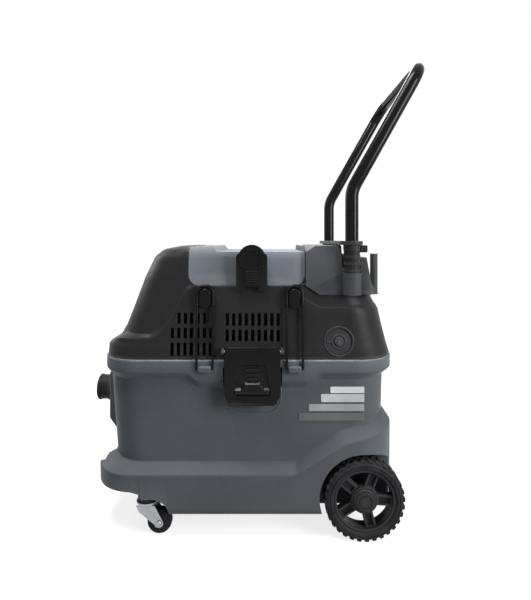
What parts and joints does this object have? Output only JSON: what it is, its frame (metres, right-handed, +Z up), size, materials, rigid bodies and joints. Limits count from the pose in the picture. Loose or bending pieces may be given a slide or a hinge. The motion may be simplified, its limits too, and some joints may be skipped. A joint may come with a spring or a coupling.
{
  "type": "wet and dry canister vacuum cleaner",
  "caption": "Commercial wet and dry canister vacuum cleaner: wheeled tank with latched motor head, filter lid, hose inlet, castors and tubular push handle.",
  "frame": {"origin": "on the floor, under the middle of the bounding box", "axes": "+Z up, +X towards the push handle and rear wheels, -X towards the hose inlet; the body is symmetric about y = 0"},
  "size_m": [0.7362, 0.406, 0.9799],
  "materials": {
    "slate_plastic": "fine textured moulded slate-grey polyethylene",
    "lid_plastic": "satin moulded blue-grey plastic",
    "black_plastic": "grained black moulded plastic",
    "mount_plastic": "grained dark grey moulded plastic",
    "gloss_black": "smooth glossy black plastic",
    "handle_paint": "gloss black powder-coated steel tube",
    "tyre_rubber": "dark solid rubber",
    "seal_rubber": "light grey foam rubber",
    "black_foam": "black open-cell foam",
    "dark_rubber": "black rubber",
    "zinc_steel": "bright zinc plated steel",
    "aluminium": "cast aluminium",
    "copper": "enamelled copper windings",
    "filter_paper": "pleated filter cloth",
    "float_plastic": "orange hollow plastic",
    "switch_red": "red rocker"
  },
  "bodies": {
    "canister": {"tank": "slate_plastic", "tank_seal": "seal_rubber", "inlet_ring": "black_plastic", "inlet_deflector": "black_plastic", "axle": "zinc_steel", "axle_clips": "zinc_steel", "head_base": "black_plastic", "head_shell": "black_plastic", "bail_rests": "black_plastic", "vent_foam": "black_foam", "handle_mount": "mount_plastic", "cord_hook": "mount_plastic", "cord_gland": "dark_rubber", "lid_hinge_pin": "zinc_steel", "lid_seal": "dark_rubber", "filter_frame": "black_plastic", "filter_cartridge": "filter_paper", "fan_casing": "zinc_steel", "motor_case": "black_plastic", "stator": "copper", "bearing_bottom": "zinc_steel", "bearing_top": "zinc_steel", "float_cage": "black_plastic", "dial_bezel": "black_plastic", "switch_panel": "mount_plastic", "latch_pins": "zinc_steel", "handle_sleeves": "black_plastic", "handle_bridge": "black_plastic", "castor_mount_near": "black_plastic", "castor_mount_far": "black_plastic"},
    "lid_body": {"lid": "lid_plastic", "lid_latch_pin": "zinc_steel"},
    "lid_latch_body": {"lid_latch": "gloss_black"},
    "motor_rotor": {"rotor": "zinc_steel", "impeller_lower": "aluminium", "impeller_upper": "aluminium"},
    "float": {"float_ball": "float_plastic"},
    "dial_body": {"dial": "mount_plastic"},
    "switch": {"rocker_switch": "switch_red"},
    "handle": {"handle_tube": "handle_paint"},
    "wheel_near": {"rear_tyre_near": "tyre_rubber", "rear_rim_near": "black_plastic", "hub_cap_near": "black_plastic"},
    "castor_near": {"castor_fork_near": "zinc_steel", "castor_axle_near": "zinc_steel"},
    "castor_wheel_near_body": {"castor_wheel_near": "tyre_rubber"},
    "latch_near": {"side_latch_near": "gloss_black"},
    "bail_front_near_body": {"bail_front_near": "gloss_black"},
    "bail_rear_near_body": {"bail_rear_near": "gloss_black"},
    "knob_near": {"clamp_knob_near": "black_plastic"},
    "wheel_far": {"rear_tyre_far": "tyre_rubber", "rear_rim_far": "black_plastic", "hub_cap_far": "black_plastic"},
    "castor_far": {"castor_fork_far": "zinc_steel", "castor_axle_far": "zinc_steel"},
    "castor_wheel_far_body": {"castor_wheel_far": "tyre_rubber"},
    "latch_far": {"side_latch_far": "gloss_black"},
    "bail_front_far_body": {"bail_front_far": "gloss_black"},
    "bail_rear_far_body": {"bail_rear_far": "gloss_black"},
    "knob_far": {"clamp_knob_far": "black_plastic"}
  },
  "joints": [
    {"name": "wheel_roll_near", "type": "hinge", "parent": "canister", "child": "wheel_near", "pos_m": [0.228, -0.182, 0.08], "axis": [0, 1, 0], "continuous": true},
    {"name": "castor_swivel_near", "type": "hinge", "parent": "canister", "child": "castor_near", "pos_m": [-0.213, -0.165, 0.06], "axis": [0, 0, 1], "continuous": true},
    {"name": "castor_roll_near", "type": "hinge", "parent": "castor_near", "child": "castor_wheel_near_body", "pos_m": [-0.187, -0.165, 0.025], "axis": [0, 1, 0], "continuous": true},
    {"name": "side_latch_near_swing", "type": "hinge", "parent": "canister", "child": "latch_near", "pos_m": [0.004, -0.195, 0.377], "axis": [-1, 0, 0], "range_deg": [0, 70]},
    {"name": "bail_front_near_swing", "type": "hinge", "parent": "canister", "child": "bail_front_near_body", "pos_m": [-0.0925, -0.1926, 0.3405], "axis": [1, 0, 0], "range_deg": [0, 110]},
    {"name": "bail_rear_near_swing", "type": "hinge", "parent": "canister", "child": "bail_rear_near_body", "pos_m": [0.089, -0.1926, 0.3405], "axis": [1, 0, 0], "range_deg": [0, 110]},
    {"name": "clamp_knob_near_turn", "type": "hinge", "parent": "canister", "child": "knob_near", "pos_m": [0.23, -0.17, 0.582], "axis": [1, 0, 0], "continuous": true},
    {"name": "wheel_roll_far", "type": "hinge", "parent": "canister", "child": "wheel_far", "pos_m": [0.228, 0.182, 0.08], "axis": [0, 1, 0], "continuous": true},
    {"name": "castor_swivel_far", "type": "hinge", "parent": "canister", "child": "castor_far", "pos_m": [-0.213, 0.165, 0.06], "axis": [0, 0, 1], "continuous": true},
    {"name": "castor_roll_far", "type": "hinge", "parent": "castor_far", "child": "castor_wheel_far_body", "pos_m": [-0.187, 0.165, 0.025], "axis": [0, 1, 0], "continuous": true},
    {"name": "side_latch_far_swing", "type": "hinge", "parent": "canister", "child": "latch_far", "pos_m": [0.004, 0.195, 0.377], "axis": [1, 0, 0], "range_deg": [0, 70]},
    {"name": "bail_front_far_swing", "type": "hinge", "parent": "canister", "child": "bail_front_far_body", "pos_m": [-0.0925, 0.1926, 0.3405], "axis": [-1, 0, 0], "range_deg": [0, 110]},
    {"name": "bail_rear_far_swing", "type": "hinge", "parent": "canister", "child": "bail_rear_far_body", "pos_m": [0.089, 0.1926, 0.3405], "axis": [-1, 0, 0], "range_deg": [0, 110]},
    {"name": "clamp_knob_far_turn", "type": "hinge", "parent": "canister", "child": "knob_far", "pos_m": [0.23, 0.17, 0.582], "axis": [1, 0, 0], "continuous": true},
    {"name": "lid_open", "type": "hinge", "parent": "canister", "child": "lid_body", "pos_m": [0, 0.168, 0.516], "axis": [-1, 0, 0], "range_deg": [0, 75]},
    {"name": "lid_latch_swing", "type": "hinge", "parent": "lid_body", "child": "lid_latch_body", "pos_m": [0.002, -0.173, 0.5585], "axis": [-1, 0, 0], "range_deg": [0, 45]},
    {"name": "motor_spin", "type": "hinge", "parent": "canister", "child": "motor_rotor", "pos_m": [-0.19, 0, 0.45], "axis": [0, 0, 1], "continuous": true},
    {"name": "float_rise", "type": "slide", "parent": "canister", "child": "float", "axis": [0, 0, 1], "range_m": [0, 0.03]},
    {"name": "dial_turn", "type": "hinge", "parent": "canister", "child": "dial_body", "pos_m": [0.179, -0.1796, 0.394], "axis": [0, -0.9962, 0.0872], "range_deg": [-135, 135]},
    {"name": "switch_rock", "type": "hinge", "parent": "canister", "child": "switch", "pos_m": [-0.247, 0, 0.486], "axis": [0, 1, 0], "range_deg": [-12, 12]},
    {"name": "handle_extend", "type": "slide", "parent": "canister", "child": "handle", "axis": [0, 0, 1], "range_m": [0, 0.06]}
  ]
}
